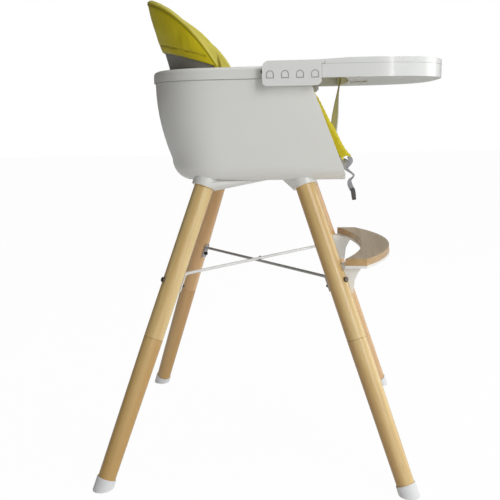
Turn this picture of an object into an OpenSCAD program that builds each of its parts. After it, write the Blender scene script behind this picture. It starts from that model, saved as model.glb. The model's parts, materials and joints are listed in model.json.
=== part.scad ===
// Baby high chair: plastic bucket seat on four splayed wooden legs, sliding tray, footrest and harness.
// Millimetres. +X is the chair's front, +Y the child's left, +Z up, and the floor is at z = 0.

/* [Legs] */
// Distance from the chair's centre to a foot, along X and along Y
foot_xy = 290; // [270:1:300]
// How far a leg's axis leans in along X over the height leg_rise
lean_x = 203.2; // [195:0.1:206]
// How far a leg's axis leans in along Y over the height leg_rise
lean_y = 163.5; // [158:0.1:166]
// Height over which the lean is measured
leg_rise = 600; // [590:1:610]
// Radius of the upper leg section
leg_r = 19; // [18:0.1:19]
// Radius of the lower leg section at the foot
foot_r = 16.9; // [15:0.1:17]
// Height of the screwed joint between the two leg sections
joint_z = 278; // [240:1:300]
// Height of the white foot cap along the leg
cap_h = 22; // [16:1:30]

/* [Seat] */
// Height of the seam between shell and rim
seam_z = 765; // [763:0.5:766]
// Height of the rim's top face
rim_top = 787; // [785:0.5:787]
// Half the width over the rim
rim_w = 210; // [209:0.5:210]
// Distance from the centre back to the rear of the rim
rim_rear = 209; // [208:0.5:210]
// Where the curved rear of the seat meets its straight sides
arc_x = -60; // [-62:1:-58]
// Height of the shell's underside
shell_z = 575; // [573:1:576]
// Wall thickness of the moulded shells
wall = 4; // [3:0.5:4]
// Top of the seat pan under the seat pad
pan_z = 606; // [604:1:607]
// Highest point of the backrest
back_top = 926; // [910:1:930]

/* [Tray] */
// Half the width over the tray's side walls
tray_w = 226; // [225:0.5:226]
// Front tip of the tray
tray_tip = 366; // [360:1:370]
// Lower edge of the tray's side wall
tray_z = 764; // [763.5:0.5:764.5]
// Top of the tray's rim
tray_top = 798; // [797:0.5:800]
// Spacing of the tray's four positions
notch_pitch = 26.7; // [26:0.1:27]

/* [Footrest] */
// Top of the footrest board
board_top = 430; // [425:1:432]
// Thickness of the wooden board
board_t = 13; // [12:0.5:14]
// Half the width of the board
board_w = 200; // [195:1:205]

/* [Brace] */
// Height of the crossed rods
brace_z = 391; // [388:1:392]
// Radius of a brace rod
rod_r = 3; // [2.5:0.1:3]

/* [Hidden] */
$fn = 48;

// ---- frame: the origin is on the floor at the centre of the object's box
lean_len = norm([lean_x, lean_y]);
leg_tilt = atan(lean_len / leg_rise);
leg_len = norm([lean_len, leg_rise]);
cap_r = 18.7;
foot_out = foot_xy + cap_r * sqrt(1 + pow(lean_x / leg_rise, 2));
origin_x = (tray_tip - foot_out) / 2;
corners = [[1, 1], [1, -1], [-1, 1], [-1, -1]];

module at_origin() {
    translate([-origin_x, 0, 0])
        children();
}

// Places children on a leg's axis: local z runs up the leg from the floor, local x faces the chair's centre
module on_leg(sx, sy) {
    translate([sx * foot_xy, sy * foot_xy, 0])
        rotate([0, leg_tilt, atan2(-sy * lean_y, -sx * lean_x)])
            children();
}

// Distance up the leg's axis of a point at height z
function up_leg(z) = z * leg_len / leg_rise;

// ---- closed solid between an outer and an inner grid of points with the same rows and columns
function grid_points(rows) = [for (r = rows) each r];
module sheet_solid(outer, inner, open_last = true) {
    n = len(outer);
    m = len(outer[0]);
    k = n * m;
    faces = [
        for (i = [0:n - 2], j = [0:m - 2])
            let (a = i * m + j, b = a + m, c = b + 1, d = a + 1)
                each 2 * i < n - 1 ? [[a, c, b], [a, d, c], [k + a, k + b, k + c], [k + a, k + c, k + d]]
                    : [[a, d, b], [b, d, c], [k + a, k + b, k + d], [k + b, k + c, k + d]],
        for (i = [0:n - 2]) each [
            [i * m, k + (i + 1) * m, k + i * m],
            [i * m, (i + 1) * m, k + (i + 1) * m]],
        for (i = [0:n - 2]) if (open_last) each [
            [i * m + m - 1, k + i * m + m - 1, k + (i + 1) * m + m - 1],
            [i * m + m - 1, k + (i + 1) * m + m - 1, (i + 1) * m + m - 1]],
        for (j = [0:m - 2]) each [
            [j, k + j, k + j + 1],
            [j, k + j + 1, j + 1],
            [(n - 1) * m + j, k + (n - 1) * m + j + 1, k + (n - 1) * m + j],
            [(n - 1) * m + j, (n - 1) * m + j + 1, k + (n - 1) * m + j + 1]]];
    polyhedron(points = concat(grid_points(outer), grid_points(inner)), faces = faces, convexity = 8);
}

// Solid swept through a list of rings that all have the same number of points
module ring_solid(rings) {
    n = len(rings);
    m = len(rings[0]);
    faces = [
        for (i = [0:n - 2], j = [0:m - 1]) each [
            [i * m + j, i * m + (j + 1) % m, (i + 1) * m + (j + 1) % m],
            [i * m + j, (i + 1) * m + (j + 1) % m, (i + 1) * m + j]],
        [for (j = [m - 1:-1:0]) j],
        [for (j = [0:m - 1]) (n - 1) * m + j]];
    polyhedron(points = grid_points(rings), faces = faces, convexity = 6);
}

// ---- plan curve of the seat: v runs from -1 (right front edge) over 0 (rear centre) to 1 (left front edge)
arc_v = 0.55;
v_half = concat([for (i = [0:12]) arc_v * i / 12], [for (i = [1:8]) arc_v + i * (1 - arc_v) / 8]);
v_steps = concat([for (i = [len(v_half) - 1:-1:1]) -v_half[i]], v_half);
function arc_angle(v) = 90 * abs(v) / arc_v;
function plan_point(v, w, rear, front, n) =
    abs(v) < arc_v
        ? [arc_x - (arc_x + rear) * pow(max(cos(arc_angle(v)), 0), 2 / n),
            sign(v) * w * pow(sin(arc_angle(v)), 2 / n)]
        : [arc_x + (front - arc_x) * (abs(v) - arc_v) / (1 - arc_v), sign(v) * w];

// The seat side's front edge slopes forward as it goes down
edge_slope = 0.388;
function edge_x(z) = min(113 + (750 - z) * edge_slope, 176);

// Half width, rear reach and floor corner of the outer shell at height z, taken in by t
shell_n = 2.35;
shell_drop = 165;
shell_corner = 42;
function shell_w(z, t) = rim_w - 3 - t - 36 * pow(max(seam_z - z, 0) / shell_drop, 1.6);
function shell_rear(z, t) = rim_rear - 3 - t - 31 * pow(max(seam_z - z, 0) / 156, 2.1);
spine_rear = -100;
spine_mid = -60;
function shell_spine(v) = abs(v) < arc_v
    ? spine_rear + (spine_mid - spine_rear) * abs(v) / arc_v
    : spine_mid + (edge_x(shell_z) - spine_mid) * (abs(v) - arc_v) / (1 - arc_v);
wall_steps = 7;
turn_steps = 6;

// One column of a bucket: down the wall, round the corner and in to the centre line
function shell_column(v, t) =
    let (
        z1 = shell_z + shell_corner,
        low = plan_point(v, shell_w(z1, t), shell_rear(z1, t), edge_x(z1), shell_n),
        spine = [shell_spine(v), 0],
        gap = norm(spine - low),
        r = shell_corner - t)
    concat(
        [for (i = [0:wall_steps]) let (z = seam_z - (seam_z - z1) * i / wall_steps)
            each [concat(plan_point(v, shell_w(z, t), shell_rear(z, t), edge_x(z), shell_n), z)]],
        [for (i = [1:turn_steps]) let (
                a = 90 * i / turn_steps,
                f = r * (1 - cos(a)) / gap,
                front = edge_x(z1 - r * sin(a)) - edge_x(z1),
                q = max(abs(v) - arc_v, 0) / (1 - arc_v))
            [low[0] + (spine[0] - low[0]) * f + front * q * (1 - f), low[1] * (1 - f), z1 - r * sin(a)]],
        [let (f = (1 + r / gap) / 2,
                front = edge_x(shell_z + t) - edge_x(z1),
                q = max(abs(v) - arc_v, 0) / (1 - arc_v))
            [low[0] + (spine[0] - low[0]) * f + front * q * (1 - f), low[1] * (1 - f), shell_z + t]],
        [[spine[0], 0, shell_z + t]]);

// The inner seat: its sides stop under the rim and its back rises above it, leaning back
liner_t = 3.5;
liner_corner = 30;
back_lean = 0.29;
lean_z = 790;
function liner_w(z, o) = 168 + o - 16 * pow(max(lean_z - z, 0) / 180, 1.4);
function liner_rear(z, o) = z > lean_z ? 178 + o + back_lean * (z - lean_z)
    : 178 + o - 58 * pow((lean_z - z) / 184, 1.15);
wing_low = 784;
wing_crown = 28;
function liner_top(v) = let (a = min(arc_angle(v), 90))
    wing_low + (back_top - wing_low) * cos(a) + wing_crown * pow(sin(a), 2) * sin(2 * a);
function liner_point(v, z, o) =
    concat(plan_point(v, liner_w(z, o), liner_rear(z, o), edge_x(z) - 3, 2), z);
function liner_spine(v) =
    abs(v) < arc_v ? -70 + 30 * abs(v) / arc_v : -40 + 213 * (abs(v) - arc_v) / (1 - arc_v);
liner_rows = 10;
function liner_column(v, o, floor_z) =
    let (
        z0 = liner_top(v),
        z1 = pan_z + liner_corner,
        low = liner_point(v, z1, o),
        spine = [liner_spine(v), 0],
        gap = norm(spine - [low[0], low[1]]),
        r = z1 - floor_z)
    concat(
        [for (i = [0:liner_rows]) liner_point(v, z0 - (z0 - z1) * i / liner_rows, o)],
        [for (i = [1:5]) let (a = 90 * i / 5, f = r * (1 - cos(a)) / gap)
            [low[0] + (spine[0] - low[0]) * f, low[1] * (1 - f), z1 - r * sin(a)]],
        [let (f = (1 + r / gap) / 2) [low[0] + (spine[0] - low[0]) * f, low[1] * (1 - f), floor_z]],
        [[spine[0], 0, floor_z]]);

// ---- seat
collar_low = 563;
collar_top = 585;
collar_r = 24.8;
leg_end_z = 566.8;
insert_r = 6;
insert_len = 5.5;
drill = 0.05;
flare_in = 20.3;
flare_r = 26.4;
flare_t = 1.5;
// The rear sockets' flares taper to the front along the underside
keel_run = 100;
keel_r = 12;

// Centre of a disc on the seat's underside, inboard of the leg's axis by flare_in, then run to the front
module on_underside(sx, sy, run = 0) {
    x = foot_xy - lean_x * (shell_z / leg_rise + flare_in / lean_len);
    y = foot_xy - lean_y * (shell_z / leg_rise + flare_in / lean_len);
    translate([sx * x + run, sy * y, shell_z + 0.5])
        children();
}
module leg_socket(sx, sy) {
    low = up_leg(collar_low);
    bore = up_leg(leg_end_z) + 0.3;
    at_origin()
        color("whitesmoke")
            difference() {
                union() {
                    on_leg(sx, sy)
                        translate([0, 0, low])
                            cylinder(h = up_leg(collar_top) - low, r = collar_r);
                    hull() {
                        on_leg(sx, sy)
                            translate([0, 0, low + 1])
                                cylinder(h = flare_t, r = collar_r - 0.2);
                        on_underside(sx, sy)
                            cylinder(h = flare_t, r = flare_r);
                        if (sx < 0)
                            on_underside(sx, sy, keel_run)
                                cylinder(h = flare_t, r = keel_r);
                    }
                }
                on_leg(sx, sy) {
                    translate([0, 0, low - 1])
                        cylinder(h = bore - low + 1, r = leg_r + 0.2);
                    translate([0, 0, bore - 1])
                        cylinder(h = insert_len + 1.5, r = insert_r + drill);
                }
            }
}

module seat_shell() {
    at_origin()
        color("whitesmoke")
            sheet_solid([for (v = v_steps) shell_column(v, 0)],
                [for (v = v_steps) shell_column(v, wall)], false);
}

// Cross-section of the rim as offsets in from rim_w: its outside from the inner edge to the skirt,
// and its inside
rim_flange = 38;
rim_skin = 3;
rim_outer = [[rim_flange, rim_top - 4], [rim_flange, rim_top - 1.2], [rim_flange - 1.2, rim_top],
    [8, rim_top], [3.5, rim_top - 1.6], [1, rim_top - 4.6], [0, rim_top - 9], [0, seam_z + 0.3]];
rim_inner = [[rim_flange - 1, rim_top - 4], [rim_flange - 2, rim_top - 4], [rim_flange - 4, rim_top - 4],
    [8, rim_top - 4], [5, rim_top - 5.4], [3.6, rim_top - 7], [rim_skin, rim_top - 10],
        [rim_skin, seam_z + 0.3]];
rim_front = 111;
rim_back_flange = 30;
function rim_row(v, section) = [for (p = section)
    concat(plan_point(v, rim_w - p[0], rim_rear - p[0] * rim_back_flange / rim_flange, rim_front,
        shell_n), p[1])];
notch_x = 78;
notch_z = 777;
pin_r = 4;
module seat_rim() {
    at_origin()
        color("whitesmoke")
            difference() {
                sheet_solid([for (v = v_steps) rim_row(v, rim_outer)],
                    [for (v = v_steps) rim_row(v, rim_inner)]);
                for (s = [-1, 1], i = [-2:1])
                    translate([notch_x + i * notch_pitch, s * rim_w, notch_z])
                        rotate([90, 0, 0])
                            cylinder(h = 12, r = pin_r + 0.4, center = true);
            }
}

// The front edge of the pan rolls over into a lip: each step moves the last column forward and down,
// with its full effect on the pan and next to none up the sides
lip_top = [[12, 0], [17.3, -3.6], [11.5, -20]];
lip_under = [[11, 0], [13.8, -3], [8.5, -15.5]];
function lip_weight(z) = let (q = min(max((640 - z) / 30, 0), 1)) q * q * (3 - 2 * q);
function lip_column(column, step, k) = [for (p = column)
    let (w = lip_weight(p[2])) [p[0] + w * step[0] + (1 - w) * k * 0.5, p[1], p[2] + w * step[1]]];
function liner_grid(o, floor_z, lip) = let (c = [for (v = v_steps) liner_column(v, o, floor_z)])
    concat([for (k = [len(lip) - 1:-1:0]) lip_column(c[0], lip[k], k + 1)], c,
        [for (k = [0:len(lip) - 1]) lip_column(c[len(c) - 1], lip[k], k + 1)]);
module seat_liner() {
    at_origin()
        color("darkgray")
            sheet_solid(liner_grid(0, pan_z - liner_t, lip_under),
                liner_grid(-liner_t, pan_z, lip_top), false);
}

// Threaded inserts in the sockets' floors, and the bolts that join the legs to them
stud_r = 4;
bolt_depth = 45;
module leg_inserts() {
    at_origin()
        color("goldenrod")
            for (c = corners)
                on_leg(c[0], c[1])
                    translate([0, 0, up_leg(leg_end_z) + 0.4])
                        difference() {
                            cylinder(h = insert_len, r = insert_r);
                            translate([0, 0, -1])
                                cylinder(h = insert_len + 2, r = stud_r + drill);
                        }
}
module leg_top_bolts() {
    at_origin()
        color("silver")
            for (c = corners)
                on_leg(c[0], c[1])
                    translate([0, 0, up_leg(leg_end_z) - bolt_depth])
                        cylinder(h = bolt_depth + insert_len, r = stud_r);
}

// Screws that join the liner's pan to the shell's floor
screw_places = [[-20, 60], [-20, -60], [120, 60], [120, -60]];
module shell_screws() {
    at_origin()
        color("silver")
            for (p = screw_places)
                translate([p[0], p[1], shell_z - 2.2]) {
                    cylinder(h = 2.2, r = 4.5);
                    cylinder(h = pan_z - liner_t - shell_z + 2.2, r = 2);
                }
}

// ---- legs
joint_u = up_leg(joint_z);
stud_half = 22;
module upper_leg(sx, sy) {
    at_origin()
        color("burlywood")
            difference() {
                on_leg(sx, sy)
                    difference() {
                        translate([0, 0, joint_u + 0.4])
                            cylinder(h = up_leg(leg_end_z) - joint_u - 0.4, r = leg_r);
                        translate([0, 0, joint_u])
                            cylinder(h = stud_half + 0.5, r = stud_r + drill);
                        translate([0, 0, up_leg(leg_end_z) - bolt_depth - 0.5])
                            cylinder(h = bolt_depth + 2, r = stud_r + drill);
                        translate([0, 0, tab_u])
                            rotate([0, 90, 0])
                                cylinder(h = 60, r = bolt_r + drill, center = true);
                    }
                if (sx > 0)
                    footrest_bolt_axis(sy)
                        translate([0, 0, 15.5])
                            cylinder(h = 60, r = bolt_r + drill);
            }
}
module lower_leg(sx, sy) {
    at_origin()
        color("tan")
            on_leg(sx, sy)
                difference() {
                    translate([0, 0, 9])
                        cylinder(h = joint_u - 9, r1 = foot_r, r2 = leg_r);
                    translate([0, 0, joint_u - stud_half - 0.5])
                        cylinder(h = stud_half + 2, r = stud_r + drill);
                }
}
module leg_joint_studs() {
    at_origin()
        color("silver")
            for (c = corners)
                on_leg(c[0], c[1])
                    translate([0, 0, joint_u - stud_half])
                        cylinder(h = 2 * stud_half, r = stud_r);
}
cap_bore = foot_r + 0.3;
module foot_cap(sx, sy) {
    at_origin()
        color("white")
            difference() {
                on_leg(sx, sy)
                    rotate([0, 0, 100])
                        difference() {
                            translate([0, 0, -12])
                                cylinder(h = cap_h + 12, r = cap_r);
                            translate([0, 0, 9 - drill])
                                cylinder(h = cap_h, r = cap_bore);
                        }
                translate([sx * foot_xy - 50, sy * foot_xy - 50, -40])
                    cube([100, 100, 40]);
            }
}

// ---- brace: two bent rods that cross, bolted to the legs' inner sides by flattened ends
bolt_r = 2.5;
tab_t = 2.4;
tab_w = 13;
tab_h = 34;
tab_u = up_leg(brace_z - 9);
function leg_at(z) = norm([foot_xy - lean_x * z / leg_rise, foot_xy - lean_y * z / leg_rise]);
rod_turn = atan2(foot_xy - lean_y * brace_z / leg_rise, foot_xy - lean_x * brace_z / leg_rise);
bend_r = 16;
rod_stand = leg_r + rod_r + 0.6;
function rod_reach(z) = leg_at(z - bend_r * (1 - sin(leg_tilt))) - bend_r * cos(leg_tilt)
    - rod_stand / cos(leg_tilt) / cos(rod_turn - atan2(lean_y, lean_x));
module rod_end(z) {
    translate([rod_reach(z), 0, z])
        rotate([0, 0, 180])
            translate([0, 0, -bend_r])
                rotate([90, 0, 0])
                    rotate([0, 0, 90])
                        rotate_extrude(angle = 90 - leg_tilt)
                            translate([bend_r, 0])
                                circle(r = rod_r);
}
module brace_rod(turn, z) {
    color("silver")
        rotate([0, 0, turn]) {
            translate([-rod_reach(z), 0, z])
                rotate([0, 90, 0])
                    cylinder(h = 2 * rod_reach(z), r = rod_r);
            rod_end(z);
            rotate([0, 0, 180])
                rod_end(z);
        }
}
tab_gap = 0.3;
module rod_tabs(list) {
    color("silver")
        for (c = list)
            on_leg(c[0], c[1])
                difference() {
                    translate([leg_r + tab_gap, -tab_w / 2, tab_u - 12])
                        cube([tab_t, tab_w, tab_h]);
                    translate([0, 0, tab_u])
                        rotate([0, 90, 0])
                            cylinder(h = 40, r = bolt_r + drill);
                }
}
module brace_rod_a() {
    at_origin() {
        brace_rod(rod_turn, brace_z + rod_r);
        rod_tabs([[1, 1], [-1, -1]]);
    }
}
module brace_rod_b() {
    at_origin() {
        brace_rod(-rod_turn, brace_z - rod_r);
        rod_tabs([[1, -1], [-1, 1]]);
    }
}
module brace_rivet() {
    at_origin()
        color("gray")
            translate([0, 0, brace_z + 2 * rod_r]) {
                cylinder(h = 1.6, r1 = 3.6, r2 = 2.4);
            }
}
module brace_bolts() {
    at_origin()
        color("dimgray")
            for (c = corners)
                on_leg(c[0], c[1])
                    translate([0, 0, tab_u])
                        rotate([0, 90, 0]) {
                            translate([0, 0, -leg_r - 2.5])
                                cylinder(h = 2 * leg_r + 12, r = bolt_r);
                            translate([0, 0, -leg_r - 4.5])
                                cylinder(h = 4.4, r = 5);
                        }
}
module brace_nuts() {
    at_origin()
        color("dimgray")
            for (c = corners)
                on_leg(c[0], c[1])
                    translate([leg_r + tab_gap + tab_t, 0, tab_u])
                        rotate([0, 90, 0])
                            difference() {
                                cylinder(h = 4, r = 4.6, $fn = 6);
                                translate([0, 0, -1])
                                    cylinder(h = 6, r = bolt_r + drill);
                            }
}

// ---- footrest
side_x0 = 174;
side_x1 = 215;
nose_x = 275;
notch_apex = 218;
function through_arc(a, b, steps) =
    let (s = (b[0] - a[0]), r = (s * s + a[1] * a[1]) / (2 * s), cx = b[0] - r, t = atan2(a[1], a[0] - cx))
    [for (i = [0:2 * steps]) let (g = t - t * i / steps) [cx + r * cos(g), r * sin(g)]];
function board_outline(inset) = concat(
    through_arc([side_x1, board_w - inset], [nose_x - inset, 0], 14),
    [for (p = through_arc([side_x0, -board_w + inset], [notch_apex + inset, 0], 12)) p]);
module footrest_board() {
    at_origin()
        color("tan")
            difference() {
                translate([0, 0, board_top - board_t])
                    linear_extrude(board_t)
                        polygon(board_outline(0));
                for (s = [-1, 1], x = [205, 240])
                    translate([x, s * board_screw_y(x), board_top - board_t - 1])
                        cylinder(h = 10, r = screw_r + drill);
            }
}
screw_r = 1.75;
function board_screw_y(x) = x < 220 ? 150 : 70;
plate_t = 5;
bracket_y = 173;
module footrest_bracket() {
    at_origin()
        color("whitesmoke")
            difference() {
                union() {
                    translate([0, 0, board_top - board_t - plate_t])
                        linear_extrude(plate_t)
                            polygon(board_outline(-1));
                    for (s = [-1, 1])
                        footrest_gusset(s);
                }
                for (s = [-1, 1], x = [205, 240])
                    translate([x, s * board_screw_y(x), 380])
                        cylinder(h = 60, r = screw_r + drill);
                for (s = [-1, 1]) {
                    on_leg(1, s)
                        translate([0, 0, up_leg(300)])
                            cylinder(h = 300, r = leg_r + 0.3);
                    footrest_bolt_axis(s) {
                        cylinder(h = 80, r = bolt_r + drill);
                        translate([0, 0, hold_head - drill])
                            cylinder(h = 40, r = 4.6);
                    }
                }
            }
}

// A gusset carries the board: a curved rib that hugs the front of a front leg
module footrest_gusset(s) {
    translate([0, s * bracket_y + 15, 0])
        rotate([90, 0, 0])
            linear_extrude(30)
                difference() {
                    polygon([[140, 423], [170, 416.5], [207, 413], [199, 400], [193, 387], [190, 361],
                        [166, 361]]);
                    translate([232, 366])
                        circle(r = 41);
                }
}
hold_z = 404;
hold_x = 150;
hold_head = 38.5;
module footrest_bolt_axis(s) {
    translate([hold_x, s * (foot_xy - lean_y * hold_z / leg_rise), hold_z])
        rotate([0, 90, 0])
            children();
}
module footrest_screws() {
    at_origin()
        color("silver")
            for (s = [-1, 1], x = [205, 240])
                translate([x, s * board_screw_y(x), board_top - board_t - plate_t - 2]) {
                    cylinder(h = 2, r = 3.5);
                    cylinder(h = 12, r = screw_r);
                }
}
module footrest_bolts() {
    at_origin()
        color("dimgray")
            for (s = [-1, 1])
                footrest_bolt_axis(s) {
                    translate([0, 0, 16])
                        cylinder(h = hold_head - 15, r = bolt_r);
                    translate([0, 0, hold_head])
                        cylinder(h = 3, r = 4.4);
                }
}

// ---- soft goods
// The back cover is a pocket over the backrest with a pad on the child's side: an outer and an inner
// boundary, each a list of [offset from the liner's outer face, height], at one place v on the curve
pad_t = 18;
skin = 3;
function hem_z(v) = 790 + 40 * cos(arc_angle(v));
function cover_hem(v) = min(hem_z(v), liner_top(v) - 6);
function head_roll(v) = 6 * cos(arc_angle(v));
function cover_outer(v) = let (t = liner_top(v), h = cover_hem(v), e = head_roll(v)) [
    [skin + 0.5, h], [skin + 0.5, (h + t) / 2], [skin + 0.5, t], [0, t + 5], [-8, t + 6 + e],
    [-pad_t, t + 3 + e], [-pad_t - 4, t - 10], [-pad_t - 4, min(lean_z, t - 14)],
    [-pad_t - 4, 730], [-pad_t - 3, 680], [-pad_t, 640]];
cover_gap = 0.6;
function cover_inner(v) = let (t = liner_top(v), h = cover_hem(v), q = -liner_t - cover_gap) [
    [cover_gap, h], [cover_gap, (h + t) / 2], [cover_gap, t], [cover_gap, t + 0.6], [q, t + 0.6],
    [q, t - 3], [q, t - 12], [q, min(lean_z, t - 14)], [q, 730], [q, 680], [q, 640]];
cover_v = [for (i = [-12:12]) arc_v * max(min(i / 12, 0.98), -0.98)];
module cushion_back() {
    at_origin()
        color("gold")
            sheet_solid([for (v = cover_v) [for (p = cover_inner(v)) liner_point(v, p[1], p[0])]],
                [for (v = cover_v) [for (p = cover_outer(v)) liner_point(v, p[1], p[0])]]);
}

// Side pads line the seat's straight sides and stand a little proud of the front edge
side_z = [778, 745, 710, 675, 645, 612];
side_gap = 0.8;
side_t = 15;
function side_proud(z) = max(2.5 + 0.146 * (745 - z), -2);
function side_column(q, o) = [for (z = side_z)
    [arc_x + 4 + (edge_x(z) + side_proud(z) - arc_x) * q, liner_w(z, o), z]];
module cushion_side(s) {
    at_origin()
        color("gold")
            mirror([0, s < 0 ? 1 : 0, 0])
                sheet_solid([for (i = [0:5]) side_column(i / 5, -liner_t - side_gap)],
                    [for (i = [0:5]) side_column(i / 5, -liner_t - side_t)]);
}
seat_pad_t = 20;
seat_pad_w = 122;
seat_pad_x = 177;
slot_w = 34;
module cushion_seat() {
    at_origin()
        color("gold")
            difference() {
                translate([0, 0, pan_z + 0.5])
                    linear_extrude(seat_pad_t)
                        polygon(concat([[seat_pad_x, -seat_pad_w + 14],
                            [seat_pad_x - 6, -seat_pad_w], [-30, -seat_pad_w]],
                            [for (i = [0:12]) let (a = 90 - 180 * i / 12)
                                [-30 - 62 * cos(a), -seat_pad_w * sin(a)]],
                            [[-30, seat_pad_w], [seat_pad_x - 6, seat_pad_w],
                                [seat_pad_x, seat_pad_w - 14]]));
                translate([108, -slot_w / 2, pan_z])
                    cube([8, slot_w, seat_pad_t + 2]);
            }
}

// Flat webbing of width w and thickness t along a route of [x, z] points at the side position y
function ribbon_normal(p, i) =
    let (a = p[max(i - 1, 0)], b = p[min(i + 1, len(p) - 1)], d = (b - a) / norm(b - a)) [-d[1], d[0]];
module ribbon(route, y, w, t) {
    ring_solid([for (i = [0:len(route) - 1]) let (p = route[i], k = ribbon_normal(route, i) * t / 2)
        [[p[0] + k[0], y - w / 2, p[1] + k[1]], [p[0] + k[0], y + w / 2, p[1] + k[1]],
            [p[0] - k[0], y + w / 2, p[1] - k[1]], [p[0] - k[0], y - w / 2, p[1] - k[1]]]]);
}
web_w = 25;
web_t = 1.6;
shoulder_y = 45;
pad_top = pan_z + seat_pad_t + 0.5;
function back_x(z, y, o) = arc_x - (arc_x + liner_rear(z, o)) * sqrt(1 - pow(y / liner_w(z, o), 2));
shoulder_route = concat([for (z = [800, 770, 740, 710, 685, 662]) [back_x(z, shoulder_y, -pad_t - 9.5), z]],
    [[-84, 644], [-66, pad_top + 5], [-40, pad_top + 3], [0, pad_top + 3], [40, pad_top + 3]]);
module shoulder_strap(s) {
    at_origin()
        color("gray")
            ribbon(shoulder_route, s * shoulder_y, web_w, web_t);
}
waist_y = 70.6;
waist_route = [[-60, pad_top + 8], [-30, pad_top + 3], [0, pad_top + 3], [40, pad_top + 3]];
module waist_strap(s) {
    at_origin()
        color("gray")
            ribbon(waist_route, s * waist_y, web_w, web_t);
}
tongue_w = 54;
module buckle_tongues() {
    at_origin()
        color("dimgray")
            for (s = [-1, 1])
                translate([40.2, s * (shoulder_y + waist_y) / 2 - tongue_w / 2, pad_top + 1.2]) {
                    cube([18, tongue_w, 4]);
                    translate([17, tongue_w / 2 - 5, 0.5])
                        cube([22, 10, 3]);
                }
}

// The crotch strap comes up through the seat pad and runs over its front edge
crotch_route = [[112, pan_z + 2], [112, 618], [113, pad_top], [118, pad_top + 2.4], [150, pad_top + 2.4],
    [176, pad_top + 2.4], [184, pad_top - 1.5], [188.6, 617], [189.3, 612]];
buckle_route = [[189.5, 610.3], [194.5, 602], [188.5, 592], [185, 586], [200, 573], [199.5, 568],
    [192.5, 560.5], [193, 552], [196, 545]];
module crotch_strap() {
    at_origin()
        color("silver")
            ribbon(crotch_route, 0, web_w, web_t);
}
module buckle_strap() {
    at_origin()
        color("silver")
            ribbon(buckle_route, 0, web_w, web_t);
}
buckle_tilt = 8;
module at_buckle() {
    translate([198, 0, 544])
        rotate([0, -buckle_tilt, 0])
            children();
}
button_r = 8;
module buckle_body() {
    at_origin()
        color("dimgray")
            at_buckle()
                difference() {
                    union() {
                        translate([-3.5, -17, -20])
                            cube([8, 34, 20]);
                        translate([-3.5, -12, -24])
                            cube([8, 24, 5]);
                    }
                    translate([-0.5, 0, -11])
                        rotate([0, 90, 0])
                            cylinder(h = 10, r = button_r + 0.3);
                }
}
module buckle_button() {
    at_origin()
        color("firebrick")
            at_buckle()
                translate([3, 0, -11])
                    rotate([0, 90, 0])
                        cylinder(h = 2.4, r = button_r);
}

// ---- tray
tray_n = 3.0;
corner_x = 190;
arm_w = 228;
arm_x0 = 24;
arm_x1 = 130;
arm_low = 751;
arm_top = 795;
deck_z = 788.5;
deck_t = 2.5;
belly_in = 32;
wall_top = 787.7;
function tray_front(inset) = let (a = corner_x - inset)
    [for (i = [0:24]) let (g = 90 - 180 * i / 24)
        [tray_tip - corner_x + a * pow(cos(g), 2 / tray_n),
            sign(sin(g)) * (tray_w - inset) * pow(abs(sin(g)), 2 / tray_n)]];

// Outline of the tray: round front, and a hollow for the child's tummy at the rear
belly_y = 176;
function belly(x0, depth, w) = [for (i = [0:16]) let (y = w * (i / 8 - 1))
    [x0 + depth * (1 - pow(y / w, 2)), y]];
function tray_outline(inset, x0, depth) = concat(
    tray_front(inset), [[x0, -tray_w + inset]], belly(x0, depth, belly_y), [[x0, tray_w - inset]]);
module slab(z0, z1, points) {
    translate([0, 0, z0])
        linear_extrude(z1 - z0)
            polygon(points);
}
module arm_plate(s) {
    translate([0, s > 0 ? arm_w : -beam_in, 0])
        rotate([90, 0, 0])
            linear_extrude(arm_w - beam_in)
                polygon(concat(
                    [for (i = [0:6]) let (a = 180 + 90 * i / 6) [arm_x0 + 8 + 8 * cos(a),
                        arm_low + 8 + 8 * sin(a)]],
                    [[arm_x1 - 6, arm_low], [arm_x1, arm_low + 6], [arm_x1, arm_top]],
                    [for (i = [0:6]) let (a = 90 + 90 * i / 6)
                        [arm_x0 + 12 + 12 * cos(a), arm_top - 12 + 12 * sin(a)]]));
}
beam_in = 211.2;
cavity_y = 213.5;
cavity_w = 8.6;
cavity_low = 766.5;
cavity_top = 784;
beam_x1 = 175.6;
insert_x0 = 118.5;
lug_in = 208.4;
lug_out = 212;

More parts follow.
